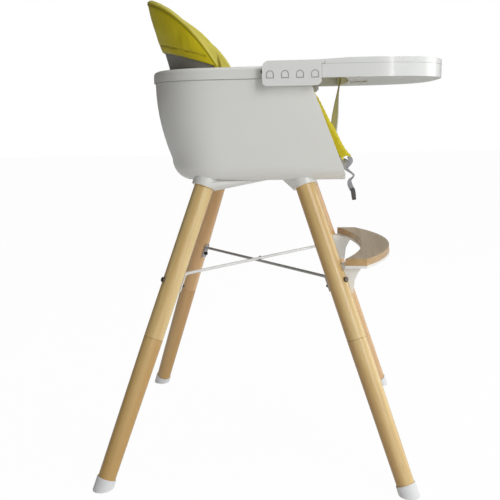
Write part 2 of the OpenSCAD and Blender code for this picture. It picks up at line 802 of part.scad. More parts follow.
// Box from x0 to x1 and from z0 to z1 between y0 and y1 on side s
module side_box(s, x0, x1, y0, y1, z0, z1) {
    translate([x0, s > 0 ? y0 : -y1, z0])
        cube([x1 - x0, y1 - y0, z1 - z0]);
}
module arm(s) {
    arm_plate(s);
    side_box(s, arm_x0 + 10, insert_x0 + 16.5, belly_y, arm_w - 1, rim_top + 1.3, arm_top);
    side_box(s, arm_x1 - 10, beam_x1, beam_in, tray_w, tray_z, wall_top);
    side_box(s, arm_x0 + 8, arm_x1 - 6, lug_in, lug_out, arm_low, tray_z);
}
module tray_body() {
    at_origin()
        color("whitesmoke")
            difference() {
                union() {
                    difference() {
                        slab(tray_z, wall_top, concat(tray_front(0), [[160, -tray_w], [160, tray_w]]));
                        slab(tray_z - 1, wall_top + 1,
                            concat(tray_front(4), [[150, 4 - tray_w], [150, tray_w - 4]]));
                    }
                    slab(deck_z, deck_z + deck_t, tray_outline(3.4, insert_x0 - 0.5, belly_in));
                    difference() {
                        slab(cavity_top, deck_z + 0.1, tray_outline(3.4, insert_x0 + 6.5, belly_in - 7));
                        slab(783, deck_z + 1, concat(tray_front(7), [[110, 7 - tray_w], [110, tray_w - 7]]));
                    }
                    arm(1);
                    arm(-1);
                    for (p = base_screws)
                        translate([p[0], p[1], tray_z + 3.3])
                            cylinder(h = deck_z - tray_z - 3, r = 4);
                }
                for (p = base_screws)
                    translate([p[0], p[1], tray_z])
                        cylinder(h = 22, r = screw_r + drill);
                translate([insert_x0 - 0.4, -tray_w - 0.4, deck_z + deck_t])
                    cube([30, 2 * tray_w + 0.8, tray_top]);
                for (s = [-1, 1]) {
                    side_box(s, 48, beam_x1 + 33, cavity_y, cavity_y + cavity_w, cavity_low, cavity_top);
                    translate([notch_x, s * 212, notch_z])
                        rotate([90, 0, 0])
                            cylinder(h = 8, r = pin_r + 0.3, center = true);
                    for (i = [0:3])
                        arch_recess(s, 38 + i * notch_pitch);
                }
            }
}
arch_depth = 1.2;
module arch(r, low) {
    translate([-r, low])
        square([2 * r, 7 - low]);
    translate([0, 7])
        circle(r = r);
}
module arch_recess(s, x) {
    translate([x, s > 0 ? arm_w + 1 : -arm_w + arch_depth, 764])
        rotate([90, 0, 0])
            linear_extrude(arch_depth + 1)
                difference() {
                    arch(7, 0);
                    arch(5.4, 1.6);
                }
}
insert_low = deck_z + deck_t + 0.4;
insert_rim = 9;
ease_len = 62;
module tray_insert() {
    at_origin()
        color("white")
            difference() {
                tray_insert_plate();
                translate([insert_x0 - 1, -tray_w - 1, arm_top])
                    rotate([0, -atan((tray_top - arm_top) / ease_len), 0])
                        cube([ease_len + 2, 2 * tray_w + 2, 12]);
            }
}
module tray_insert_plate() {
    slab(insert_low, insert_low + 2.6, tray_outline(0.5, insert_x0 + 0.5, belly_in));
    difference() {
        slab(insert_low, tray_top, tray_outline(0, insert_x0, belly_in));
        slab(deck_z, tray_top + 1, tray_outline(insert_rim, insert_x0 + insert_rim - 1.5, belly_in));
    }
    difference() {
        slab(wall_top + 0.3, insert_low + 0.1, tray_outline(0, insert_x0 + 17.5, belly_in - 7));
        slab(wall_top, deck_z + 4, concat(tray_front(3), [[110, 3 - tray_w], [110, tray_w - 3]]));
    }
}

// Cover under the tray, with a finger pocket for the release handle
base_x0 = 172;
function base_outline(inset) = concat(
    tray_front(inset), [[base_x0 + 6, -208]], belly(base_x0, 15, 205), [[base_x0 + 6, 208]]);
pocket_x0 = 190;
pocket_x1 = 226;
pocket_y = 42;
module tray_base() {
    at_origin()
        color("whitesmoke")
            difference() {
                union() {
                    slab(tray_z, tray_z + 3, base_outline(4.4));
                    difference() {
                        slab(tray_z, 783.5, concat([[base_x0 + 40, -205]], belly(base_x0, 15, 205),
                            [[base_x0 + 40, 205]]));
                        slab(tray_z - 1, 786, concat([[base_x0 + 50, -210]], belly(base_x0 + 3, 15, 210),
                            [[base_x0 + 50, 210]]));
                    }
                    translate([pocket_x0 - 2, -pocket_y - 2, tray_z])
                        cube([pocket_x1 - pocket_x0 + 4, 2 * pocket_y + 4, 19.5]);
                    for (s = [-1, 1])
                        translate([spring_x + spring_len + 0.2, s * spring_y - 5, tray_z])
                            cube([4, 10, 12]);
                }
                translate([pocket_x0, -pocket_y, tray_z - 1])
                    cube([pocket_x1 - pocket_x0, 2 * pocket_y, 18.5]);
                translate([pocket_x1 - 1, -13, 767.1])
                    cube([4, 26, 4.4]);
                for (p = base_screws)
                    translate([p[0], p[1], tray_z - 1]) {
                        cylinder(h = 6, r = screw_r + drill);
                        cylinder(h = 1 + head_t, r = 3.5);
                    }
            }
}
head_t = 1.6;
base_screws = [[280, 120], [280, -120], [320, 60], [320, -60], [200, 150], [200, -150]];
module tray_base_screws() {
    at_origin()
        color("silver")
            for (p = base_screws)
                translate([p[0], p[1], tray_z]) {
                    cylinder(h = head_t, r = 3.4);
                    cylinder(h = 20, r = screw_r);
                }
}

// Release: a yoke pulled forward by its handle; a sloping slot in each of its ends draws a pin outward
yoke_z = 767.6;
yoke_t = 3;
cam_run = 10;
cam_rise = 2.5;
peg_r = 1.5;
peg_y = 216.6;
bar_y = 213.9;
bar_w = 7.5;
strut_x = 178;
strut_y = 196;
cross_x = 232;
cross_w = 12;
module cam_slot(s) {
    r = peg_r + 0.25;
    low = notch_x - cam_run;
    linear_extrude(20, center = true)
        polygon([[notch_x + r, s * (peg_y - r)], [notch_x + r, s * (peg_y + r)], [notch_x, s * (peg_y + r)],
            [low + r, s * (peg_y + cam_rise + r)], [low - r, s * (peg_y + cam_rise + r)],
            [low - r, s * (peg_y + cam_rise - r)], [low, s * (peg_y + cam_rise - r)],
            [notch_x - r, s * (peg_y - r)]]);
}
module release_yoke() {
    at_origin()
        color("lightgray")
            difference() {
                union() {
                    for (s = [-1, 1]) {
                        side_box(s, 60, strut_x + 10, bar_y, bar_y + bar_w, yoke_z, yoke_z + yoke_t);
                        side_box(s, strut_x, strut_x + 10, strut_y, bar_y + 1, yoke_z, yoke_z + yoke_t);
                        side_box(s, strut_x, cross_x + 1, strut_y, strut_y + 8, yoke_z, yoke_z + yoke_t);
                        translate([cross_x, s * spring_y - 4, yoke_z])
                            cube([cross_w, 8, 8]);
                    }
                    translate([cross_x, -strut_y - 8, yoke_z])
                        cube([cross_w, 2 * strut_y + 16, yoke_t]);
                    translate([208, -12, yoke_z])
                        cube([cross_x - 207, 24, yoke_t]);
                    translate([206, -36, yoke_z - 2.1])
                        cube([8, 72, 12]);
                }
                for (s = [-1, 1])
                    translate([0, 0, yoke_z])
                        cam_slot(s);
            }
}
spring_x = cross_x + cross_w + 0.2;
spring_y = 90;
spring_len = 20;
module release_springs() {
    at_origin()
        color("silver")
            for (s = [-1, 1])
                translate([spring_x, s * spring_y, yoke_z + 4])
                    rotate([0, 90, 0])
                        difference() {
                            cylinder(h = spring_len, r = 3.4);
                            translate([0, 0, -1])
                                cylinder(h = spring_len + 2, r = 2.4);
                        }
}
pin_in = 210.3;
pin_len = 8.9;
module latch_pin(s) {
    at_origin()
        color("silver")
            mirror([0, s < 0 ? 1 : 0, 0]) {
                translate([notch_x, pin_in + pin_len, notch_z])
                    rotate([90, 0, 0])
                        cylinder(h = pin_len, r = pin_r);
                translate([notch_x, peg_y, yoke_z + 0.4])
                    cylinder(h = notch_z - yoke_z - 2, r = peg_r);
            }
}

// Strap between the child's legs, from the tray's underside down to the seat pad
tray_strap_route = [[173.5, 785], [171, 764], [166.5, 738], [163, 712], [160.5, 688], [158, 664], [155, 646],
    [151, 634.5]];
module tray_strap() {
    at_origin()
        color("olive")
            ribbon(tray_strap_route, 0, 38, 2.4);
}
module strap_anchor() {
    at_origin()
        color("whitesmoke")
            translate([164, -24, 785.3])
                cube([18, 48, deck_z - 785.3]);
}

// ---- named sub-parts that repeat
module leg_socket_front_left() leg_socket(1, 1);
module leg_socket_front_right() leg_socket(1, -1);
module leg_socket_rear_left() leg_socket(-1, 1);
module leg_socket_rear_right() leg_socket(-1, -1);
module upper_leg_front_left() upper_leg(1, 1);
module upper_leg_front_right() upper_leg(1, -1);
module upper_leg_rear_left() upper_leg(-1, 1);
module upper_leg_rear_right() upper_leg(-1, -1);
module lower_leg_front_left() lower_leg(1, 1);
module lower_leg_front_right() lower_leg(1, -1);
module lower_leg_rear_left() lower_leg(-1, 1);
module lower_leg_rear_right() lower_leg(-1, -1);
module foot_cap_front_left() foot_cap(1, 1);
module foot_cap_front_right() foot_cap(1, -1);
module foot_cap_rear_left() foot_cap(-1, 1);
module foot_cap_rear_right() foot_cap(-1, -1);
module cushion_side_left() cushion_side(1);
module cushion_side_right() cushion_side(-1);
module shoulder_strap_left() shoulder_strap(1);
module shoulder_strap_right() shoulder_strap(-1);
module waist_strap_left() waist_strap(1);
module waist_strap_right() waist_strap(-1);
module latch_pin_left() latch_pin(1);
module latch_pin_right() latch_pin(-1);

seat_shell();
seat_rim();
seat_liner();
leg_socket_front_left();
leg_socket_front_right();
leg_socket_rear_left();
leg_socket_rear_right();
leg_inserts();
leg_top_bolts();
shell_screws();
upper_leg_front_left();
upper_leg_front_right();
upper_leg_rear_left();
upper_leg_rear_right();
lower_leg_front_left();
lower_leg_front_right();
lower_leg_rear_left();
lower_leg_rear_right();
foot_cap_front_left();
foot_cap_front_right();
foot_cap_rear_left();
foot_cap_rear_right();
leg_joint_studs();
brace_rod_a();
brace_rod_b();
brace_rivet();
brace_bolts();
brace_nuts();
footrest_board();
footrest_bracket();
footrest_screws();
footrest_bolts();
cushion_back();
cushion_seat();
cushion_side_left();
cushion_side_right();
shoulder_strap_left();
shoulder_strap_right();
waist_strap_left();
waist_strap_right();
crotch_strap();
buckle_strap();
buckle_body();
buckle_button();
buckle_tongues();
tray_body();
tray_insert();
tray_base();
tray_base_screws();
tray_strap();
strap_anchor();
release_yoke();
release_springs();
latch_pin_left();
latch_pin_right();
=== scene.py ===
# Looks of a baby high chair: plastic bucket seat on splayed wooden legs, with tray, footrest and harness.
# Metres, in the frame's own axes: +X is the chair's front, +Y the child's left, +Z up.
import json
import math

import bmesh
import bpy
import numpy as np
from mathutils import Matrix, Quaternion, Vector, noise

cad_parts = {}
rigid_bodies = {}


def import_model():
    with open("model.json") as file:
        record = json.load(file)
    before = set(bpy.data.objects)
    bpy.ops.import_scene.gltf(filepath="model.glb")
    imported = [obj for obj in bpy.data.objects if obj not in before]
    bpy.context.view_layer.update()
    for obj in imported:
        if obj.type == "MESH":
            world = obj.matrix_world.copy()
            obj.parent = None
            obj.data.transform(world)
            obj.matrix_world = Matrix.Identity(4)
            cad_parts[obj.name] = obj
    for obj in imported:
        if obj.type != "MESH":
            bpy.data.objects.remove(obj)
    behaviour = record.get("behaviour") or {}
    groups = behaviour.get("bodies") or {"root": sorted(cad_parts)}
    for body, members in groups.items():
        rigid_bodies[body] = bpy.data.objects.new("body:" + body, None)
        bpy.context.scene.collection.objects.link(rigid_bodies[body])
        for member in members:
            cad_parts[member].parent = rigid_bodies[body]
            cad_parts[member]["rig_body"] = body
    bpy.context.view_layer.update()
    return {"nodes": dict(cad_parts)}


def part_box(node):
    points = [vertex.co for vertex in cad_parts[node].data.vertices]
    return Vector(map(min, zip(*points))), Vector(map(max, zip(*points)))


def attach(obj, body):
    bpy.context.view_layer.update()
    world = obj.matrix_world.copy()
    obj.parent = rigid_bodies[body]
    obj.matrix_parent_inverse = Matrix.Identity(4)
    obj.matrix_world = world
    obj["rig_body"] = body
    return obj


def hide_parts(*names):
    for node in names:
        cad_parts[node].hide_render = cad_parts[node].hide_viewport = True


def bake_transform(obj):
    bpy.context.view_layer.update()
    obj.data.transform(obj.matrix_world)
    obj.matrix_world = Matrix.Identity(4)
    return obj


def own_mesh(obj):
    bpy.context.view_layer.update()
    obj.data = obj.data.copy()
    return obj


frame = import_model()
NODES = frame["nodes"]
MM = 0.001

# ---------------- places read from the frame
RIM_FRONT = 0.111
ORIGIN_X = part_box("seat_rim")[1].x - RIM_FRONT  # the chair's own centre line, between the feet
LINER_T = 3.5 * MM  # the inner seat's wall


def lerp(a, b, t):
    return a + (b - a) * t


def smooth(t):
    """0 below 0, 1 above 1, and a soft step between."""
    t = min(max(t, 0.0), 1.0)
    return t * t * (3 - 2 * t)


def dip(x, middle, width):
    """1 at the middle, fading to 0 on both sides."""
    return math.exp(-((x - middle) / width) ** 2)


def at(x, y, z):
    """A point from millimetres about the chair's own centre line."""
    return Vector((x * MM + ORIGIN_X, y * MM, z * MM))


def grey(value):
    return (value,) * 3


def shaded(colour, by):
    return tuple(c * by for c in colour)


# ---------------- node materials
class Shader:
    """A node material with one Principled shader, and short calls for the nodes that feed it."""

    def __init__(self, name, rough=0.5, **fixed):
        self.m = bpy.data.materials.new(name)
        self.m.use_nodes = True
        self.n = self.m.node_tree.nodes
        self.l = self.m.node_tree.links
        self.b = self.n["Principled BSDF"]
        self.b.inputs["Roughness"].default_value = rough
        for key, value in fixed.items():
            self.b.inputs[key.replace("_", " ")].default_value = value

    def add(self, kind, **props):
        node = self.n.new(kind)
        for key, value in props.items():
            setattr(node, key, value)
        return node

    def coords(self, turn=None):
        out = self.add("ShaderNodeTexCoord").outputs["Object"]
        if turn is not None:
            out = self.mapped(out, rotation=turn)
        return self.mapped(out)

    def mapped(self, source, rotation=None, scale=(1, 1, 1)):
        node = self.add("ShaderNodeMapping")
        self.l.new(source, node.inputs["Vector"])
        node.inputs["Scale"].default_value = scale
        if rotation is not None:
            node.inputs["Rotation"].default_value = rotation
        return node.outputs["Vector"]

    def noise(self, where, scale, detail=4.0, rough=0.5, distort=0.0):
        node = self.add("ShaderNodeTexNoise")
        self.l.new(where, node.inputs["Vector"])
        node.inputs["Scale"].default_value = scale
        node.inputs["Detail"].default_value = detail
        node.inputs["Roughness"].default_value = rough
        node.inputs["Distortion"].default_value = distort
        return node.outputs["Fac"]

    def cells(self, where, scale, feature="F1"):
        node = self.add("ShaderNodeTexVoronoi", feature=feature)
        self.l.new(where, node.inputs["Vector"])
        node.inputs["Scale"].default_value = scale
        return node.outputs["Distance"]

    def wave(self, where, scale, distort, direction):
        node = self.add("ShaderNodeTexWave", bands_direction=direction, wave_profile="SIN")
        self.l.new(where, node.inputs["Vector"])
        node.inputs["Scale"].default_value = scale
        node.inputs["Distortion"].default_value = distort
        node.inputs["Detail"].default_value = 0.0
        return node.outputs["Fac"]

    def ramp(self, value, stops):
        node = self.add("ShaderNodeValToRGB")
        self.l.new(value, node.inputs["Fac"])
        while len(node.color_ramp.elements) < len(stops):
            node.color_ramp.elements.new(0.5)
        for element, (place, colour) in zip(node.color_ramp.elements, stops):
            element.position = place
            element.color = (*colour, 1)
        return node.outputs["Color"]

    def mix(self, a, b, factor):
        node = self.add("ShaderNodeMix", data_type="RGBA")
        for socket, value in ((node.inputs[6], a), (node.inputs[7], b), (node.inputs[0], factor)):
            if isinstance(value, (int, float)):
                socket.default_value = value
            elif isinstance(value, tuple):
                socket.default_value = (*value, 1)
            else:
                self.l.new(value, socket)
        return node.outputs[2]

    def span(self, value, low, high):
        node = self.add("ShaderNodeMapRange")
        self.l.new(value, node.inputs["Value"])
        node.inputs["To Min"].default_value = low
        node.inputs["To Max"].default_value = high
        return node.outputs["Result"]

    def math(self, kind, a, b):
        node = self.add("ShaderNodeMath", operation=kind)
        for socket, value in zip(node.inputs, (a, b)):
            if isinstance(value, (int, float)):
                socket.default_value = value
            else:
                self.l.new(value, socket)
        return node.outputs["Value"]

    def split(self, vector):
        """The X, Y and Z of a vector."""
        node = self.add("ShaderNodeSeparateXYZ")
        self.l.new(vector, node.inputs["Vector"])
        return node.outputs

    def surface(self, what):
        """The X, Y and Z of the surface's own Normal or Position."""
        return self.split(self.add("ShaderNodeNewGeometry").outputs[what])

    def hollow_shade(self, reach):
        """Ambient occlusion turned into a mask for painted shade: 1 in grooves and seams narrower than the
        reach in metres, 0 on open faces.
        """
        node = self.add("ShaderNodeAmbientOcclusion", samples=8)
        node.inputs["Distance"].default_value = reach
        return self.ramp(node.outputs["AO"], [(0.45, grey(1.0)), (0.8, grey(0.0))])

    def bump(self, height, distance, strength=1.0, under=None):
        node = self.add("ShaderNodeBump")
        self.l.new(height, node.inputs["Height"])
        node.inputs["Distance"].default_value = distance
        node.inputs["Strength"].default_value = strength
        if under is not None:
            self.l.new(under, node.inputs["Normal"])
        return node.outputs["Normal"]

    def done(self, colour=None, rough=None, normal=None):
        for key, value in (("Base Color", colour), ("Roughness", rough), ("Normal", normal)):
            if value is not None:
                self.l.new(value, self.b.inputs[key])
        return self.m


def plastic(name, colour, rough, coat=0.0, warm=None, shade_reach=None):
    """Moulded plastic with soft clouding, a fine grain and scuffs, and painted shade in grooves up to the
    given reach wide.
    """
    s = Shader(name, rough, Coat_Weight=coat, Coat_Roughness=0.12, IOR=1.47)
    where = s.coords()
    cloud = s.noise(where, 7.0, 3.0)
    base = s.mix(colour, warm or shaded(colour, 0.955), s.span(cloud, 0.0, 1.0))
    if shade_reach:
        # painted shade in grooves and seams
        base = s.mix(base, shaded(colour, 0.42), s.hollow_shade(shade_reach))
    fine = s.noise(where, 900.0, 2.0)
    scuff = s.noise(where, 60.0, 6.0, 0.7)
    waves = s.bump(s.noise(where, 14.0, 2.0), 0.0006, 0.25)
    return s.done(base, s.span(scuff, rough - 0.06, rough + 0.08), s.bump(fine, 0.00006, 0.6, waves))


def wood(name, light, dark, axis, rough=0.42, sides=None, foot=None, shade_side=None):
    """Lacquered wood with its grain along the axis. Sides holds the light and dark tones of the faces that
    look sideways, and foot is a tone that deepens towards the floor. The last argument paints shade, a
    darker tone, on the side that faces the front (1) or the rear (-1)."""
    s = Shader(name, rough, Coat_Weight=0.55, Coat_Roughness=0.26)
    where = s.coords(axis.normalized().rotation_difference(Vector((0, 0, 1))).to_euler())
    rings = s.noise(s.mapped(where, scale=(1, 1, 0.07)), 38.0, 5.0, 0.55, 0.35)
    pores = s.noise(s.mapped(where, scale=(1, 1, 0.045)), 420.0, 3.0, 0.6)
    flecks = s.cells(s.mapped(where, scale=(1, 1, 0.16)), 260.0)
    middle = tuple((a + b) / 2 for a, b in zip(light, dark))
    tone = s.ramp(rings, [(0.32, dark), (0.5, middle), (0.66, light)])
    if sides:
        level = s.math("GREATER_THAN", s.math("ABSOLUTE", s.surface("Normal")["Z"], 0.0), 0.7)
        tone = s.mix(s.ramp(rings, [(0.3, sides[1]), (0.7, sides[0])]), tone, level)
    tone = s.mix(tone, shaded(dark, 0.72), s.ramp(pores, [(0.30, grey(0.45)), (0.42, grey(0.0))]))
    tone = s.mix(tone, shaded(dark, 0.66), s.ramp(flecks, [(0.05, grey(0.5)), (0.14, grey(0.0))]))
    # painted shade: a darker tone on one side of the leg, set by its normal along X
    if shade_side:
        painted_shade_tone = tuple(c * d for c, d in zip(dark, (0.80, 0.68, 0.5)))
        shade_share = s.math("MULTIPLY", s.surface("Normal")["X"], shade_side)
        tone = s.mix(tone, painted_shade_tone, s.ramp(shade_share, [(0.15, grey(0.0)), (0.8, grey(0.75))]))
    if foot:
        low = s.ramp(s.surface("Position")["Z"], [(0.05, grey(0.8)), (0.36, grey(0.0))])
        tone = s.mix(tone, foot, low)
    return s.done(tone, s.span(rings, rough - 0.05, rough + 0.1), s.bump(pores, 0.00012, 0.5))


def coated_cloth(name, light, dark, rough=0.46, fold=0.5, shade_reach=6 * MM):
    """Smooth wipe-clean cloth with a fine grain and creases, and painted shade in folds and channels up to
    the given reach wide.
    """
    s = Shader(name, rough, Sheen_Weight=0.04, Sheen_Roughness=0.4, Specular_IOR_Level=0.3)
    where = s.coords()
    blotch = s.noise(where, 11.0, 4.0, 0.55)
    tone = s.mix(light, dark, s.span(blotch, 0.0, 0.85))
    # painted shade in folds, channels and seams
    tone = s.mix(tone, shaded(dark, 0.4), s.hollow_shade(shade_reach))
    grain = s.cells(where, 900.0, "SMOOTH_F1")
    creases = s.noise(s.mapped(where, scale=(1, 1, 0.55)), 34.0, 5.0, 0.6, 0.6)
    return s.done(tone, s.span(s.noise(where, 90.0, 4.0), rough - 0.08, rough + 0.12),
                  s.bump(grain, 0.00012, 0.5, s.bump(creases, 0.0022, fold)))


def woven(name, light, dark):
    """Harness webbing, its weave laid along the band by its UVs."""
    s = Shader(name, 0.78, Sheen_Weight=0.3, Sheen_Roughness=0.5)
    uv = s.add("ShaderNodeTexCoord").outputs["UV"]
    threads = 1 / (0.0011 * 6.283)
    weave = s.math("MULTIPLY", s.wave(uv, threads, 0.3, "X"), s.wave(uv, threads, 0.3, "Y"))
    tone = s.mix(dark, light, s.span(weave, 0.15, 1.0))
    tone = s.mix(tone, shaded(light, 0.8), s.span(s.noise(s.coords(), 45.0, 3.0), 0.0, 0.45))
    return s.done(tone, None, s.bump(weave, 0.0004, 0.8))


def metal(name, colour, rough, metallic=1.0):
    """Steel or brass with a fine mottle; a low metallic share gives coated rods their grey."""
    s = Shader(name, rough, Metallic=metallic)
    fine = s.noise(s.coords(), 300.0, 3.0)
    tone = s.mix(colour, shaded(colour, 0.8), s.span(fine, 0.0, 0.6))
    return s.done(tone, s.span(fine, rough - 0.05, rough + 0.15), s.bump(fine, 0.00004, 0.5))


def banded_cloth(name, light, dark, edge, place):
    """Coated cloth with a pale binding along one edge, past the given place across its width in metres."""
    s = Shader(name, 0.6, Sheen_Weight=0.2, Sheen_Roughness=0.4)
    where = s.coords()
    across = s.split(s.add("ShaderNodeTexCoord").outputs["UV"])["X"]
    tone = s.mix(light, dark, s.noise(where, 26.0, 4.0))
    tone = s.mix(tone, edge, s.math("GREATER_THAN", across, place))
    return s.done(tone, None, s.bump(s.cells(where, 900.0, "SMOOTH_F1"), 0.00012, 0.5))


shell_white = plastic("shell_white", (0.80, 0.81, 0.79), 0.30, 0.25, warm=(0.80, 0.79, 0.75))
# the tray paints shade in its grooves and seams up to 3 mm wide
tray_white = plastic("tray_white", (0.84, 0.85, 0.83), 0.24, 0.4, shade_reach=3 * MM)
# partly painted shade: the inner seat's dark grey is its own grey plastic, darkened further for the shade
# under the back cover
liner_grey_and_shade = plastic("liner_grey_and_shade", (0.30, 0.29, 0.27), 0.42, warm=(0.32, 0.30, 0.27))
cap_white = plastic("cap_white", (0.86, 0.87, 0.88), 0.45)
bracket_white = plastic("bracket_white", (0.90, 0.88, 0.83), 0.42)
yoke_grey = plastic("yoke_grey", (0.13, 0.13, 0.14), 0.3, 0.3)
buckle_grey = plastic("buckle_grey", (0.10, 0.10, 0.10), 0.42)
button_red = plastic("button_red", (0.30, 0.02, 0.015), 0.35)
cover_yellow = coated_cloth("cover_yellow", (0.80, 0.68, 0.018), (0.57, 0.45, 0.008), 0.40)
# painted sheen and shade: a duller, darker copy of the cover's yellow for the band over the top and the inner
# face, with painted shade in folds up to 16 mm wide
cover_inside_sheen_shade = coated_cloth("cover_inside_sheen_shade", (0.64, 0.57, 0.09), (0.44, 0.38, 0.05), 0.5, 0.8, 16 * MM)
piping_yellow = coated_cloth("piping_yellow", (0.42, 0.36, 0.012), (0.30, 0.25, 0.008), 0.55, 0.1)
# painted shade: the tray strap's two olive tones are the cover's yellow darkened; its pale binding is its own
# colour
strap_bound = banded_cloth("strap_bound", (0.40, 0.36, 0.08), (0.29, 0.25, 0.05), (0.75, 0.78, 0.76), 0.0125)
web_light = woven("web_light", (0.62, 0.64, 0.63), (0.36, 0.37, 0.37))
web_mid = woven("web_mid", (0.40, 0.41, 0.42), (0.16, 0.16, 0.17))
thread_dark = coated_cloth("thread_dark", (0.46, 0.38, 0.02), (0.38, 0.31, 0.015), 0.7, 0.1)
steel_bright = metal("steel_bright", (0.62, 0.62, 0.63), 0.28)
steel_dark = metal("steel_dark", (0.06, 0.06, 0.06), 0.42)
steel_aged = metal("steel_aged", (0.20, 0.17, 0.14), 0.42)
brass_turned = metal("brass_turned", (0.62, 0.46, 0.20), 0.3)

# ---------------- hard nodes: rounded copies of the CAD shapes


def copy_of(node, edge=0.8 * MM, segments=2, limit=34, sharp=40, above=None, below=0.12):
    """The CAD shape with its edges rounded, standing for the node. With a height above, the edges that lie
    under it are rounded only by the share below."""
    source = NODES[node]
    mesh = source.data.copy()
    mesh.materials.clear()
    piece = bpy.data.objects.new("look_" + node, mesh)
    bpy.context.scene.collection.objects.link(piece)
    bm = bmesh.new()
    bm.from_mesh(mesh)
    bmesh.ops.remove_doubles(bm, verts=bm.verts, dist=0.00002)
    bmesh.ops.dissolve_degenerate(bm, edges=bm.edges, dist=0.00001)
    bmesh.ops.dissolve_limit(bm, angle_limit=math.radians(1.0), verts=bm.verts, edges=bm.edges)
    bm.to_mesh(mesh)
    bm.free()
    bevel = piece.modifiers.new("bevel", "BEVEL")
    bevel.width = edge
    bevel.segments = segments
    if above is None:
        bevel.limit_method = "ANGLE"
        bevel.angle_limit = math.radians(limit)
    else:
        bevel.limit_method = "WEIGHT"
        weigh(mesh, math.radians(limit), above, below)
    bevel.harden_normals = False
    apply(piece, "bevel")
    smooth_by_angle(piece, sharp)
    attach(piece, source["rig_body"])
    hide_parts(node)
    return piece


def weigh(mesh, limit, above, below):
    """Bevel weights on the sharp edges: 1 over the height above, and below under it."""
    bm = bmesh.new()
    bm.from_mesh(mesh)
    layer = bm.edges.layers.float.new("bevel_weight_edge")
    for e in bm.edges:
        if len(e.link_faces) == 2 and e.calc_face_angle(0.0) > limit:
            e[layer] = 1.0 if min(v.co.z for v in e.verts) > above else below
    bm.to_mesh(mesh)
    bm.free()


def apply(piece, name):
    with bpy.context.temp_override(object=piece, active_object=piece, selected_objects=[piece]):
        bpy.ops.object.modifier_apply(modifier=name)


def smooth_by_angle(piece, degrees):
    mesh = piece.data
    mesh.polygons.foreach_set("use_smooth", [True] * len(mesh.polygons))
    bm = bmesh.new()
    bm.from_mesh(mesh)
    limit = math.radians(degrees)
    for e in bm.edges:
        e.smooth = len(e.link_faces) != 2 or e.calc_face_angle(0.0) < limit
    bm.to_mesh(mesh)
    bm.free()
    weighted = piece.modifiers.new("weighted", "WEIGHTED_NORMAL")
    weighted.keep_sharp = True
    apply(piece, "weighted")


def dress(piece, material):
    piece.data.materials.clear()
    piece.data.materials.append(material)
    return piece


for part in NODES.values():
    part.data.materials.clear()

LEGS = [(x, y, sx, sy) for x, sx in (("front", 1), ("rear", -1)) for y, sy in (("left", 1), ("right", -1))]
LEAN = Vector((203.2, 163.5, 600.0))  # how far a leg goes to the front, to the side and up
FOOT_TONE = (0.56, 0.34, 0.11)
for x, y, sx, sy in LEGS:
    axis = Vector((-sx * LEAN.x, -sy * LEAN.y, LEAN.z))
    shift = 0.06 * (sx + 2 * sy)  # a slightly different tone for each leg
    green = 0.90 if sy > 0 else 1.0  # the left legs are of redder wood
    # the last argument of wood paints shade on one side of each leg
    upper = wood(f"beech_upper_{x}_{y}", (0.84 + shift * 0.1, 0.63 * green, 0.30),
                 (0.68, 0.44 * green, 0.165), axis, shade_side=-1 if sx > 0 else None)
    lower = wood(f"beech_lower_{x}_{y}", (0.83, 0.615 * green, 0.29 + shift * 0.05),
                 (0.66, 0.42 * green, 0.155), axis, foot=FOOT_TONE if sx < 0 else None, shade_side=-sx)
    dress(copy_of(f"upper_leg_{x}_{y}", 0.7 * MM), upper)
    dress(copy_of(f"lower_leg_{x}_{y}", 0.7 * MM), lower)
    dress(copy_of(f"foot_cap_{x}_{y}", 0.9 * MM), cap_white)
    dress(copy_of(f"leg_socket_{x}_{y}", 1.2 * MM), shell_white)

dress(copy_of("seat_shell", 1.6 * MM, 3, 60, 55), shell_white)
dress(copy_of("seat_rim", 0.5 * MM, 2, 60, 50), shell_white)
dress(copy_of("seat_liner", 1.4 * MM, 3, 60, 55), liner_grey_and_shade)
dress(copy_of("tray_body", 0.5 * MM), tray_white)
dress(copy_of("tray_insert", 1.4 * MM, 3, above=0.7925), tray_white)
dress(copy_of("tray_base", 0.6 * MM), tray_white)
dress(copy_of("strap_anchor", 0.5 * MM), tray_white)
dress(copy_of("release_yoke", 0.5 * MM), yoke_grey)
dress(copy_of("buckle_body", 1.6 * MM, 3), buckle_grey)
dress(copy_of("buckle_tongues", 0.8 * MM), buckle_grey)
dress(copy_of("buckle_button", 0.6 * MM), button_red)
dress(copy_of("footrest_bracket", 0.8 * MM), bracket_white)
board_wood = wood("board_beech", (0.66, 0.53, 0.37), (0.48, 0.35, 0.21), Vector((0, 1, 0)), 0.38,
                  sides=((0.62, 0.40, 0.17), (0.40, 0.23, 0.08)))
dress(copy_of("footrest_board", 2.2 * MM, 3), board_wood)
rod_grey = metal("rod_grey", (0.50, 0.50, 0.50), 0.3, 0.4)
rod_pale = metal("rod_pale", (0.86, 0.86, 0.86), 0.3, 0.3)
dress(copy_of("brace_rod_a", 0.3 * MM), rod_pale)
dress(copy_of("brace_rod_b", 0.3 * MM), rod_grey)
for name, material in (("brace_rivet", steel_bright), ("brace_bolts", steel_aged), ("brace_nuts", steel_dark),
                       ("footrest_bolts", steel_aged)):
    dress(copy_of(name, 0.4 * MM), material)
# hidden fasteners keep their CAD shapes
for name in ("leg_top_bolts", "leg_joint_studs", "shell_screws", "footrest_screws", "tray_base_screws",
             "latch_pin_left", "latch_pin_right"):
    NODES[name].data.materials.append(steel_bright)
NODES["leg_inserts"].data.materials.append(brass_turned)

# ---------------- mesh helpers for the soft pieces


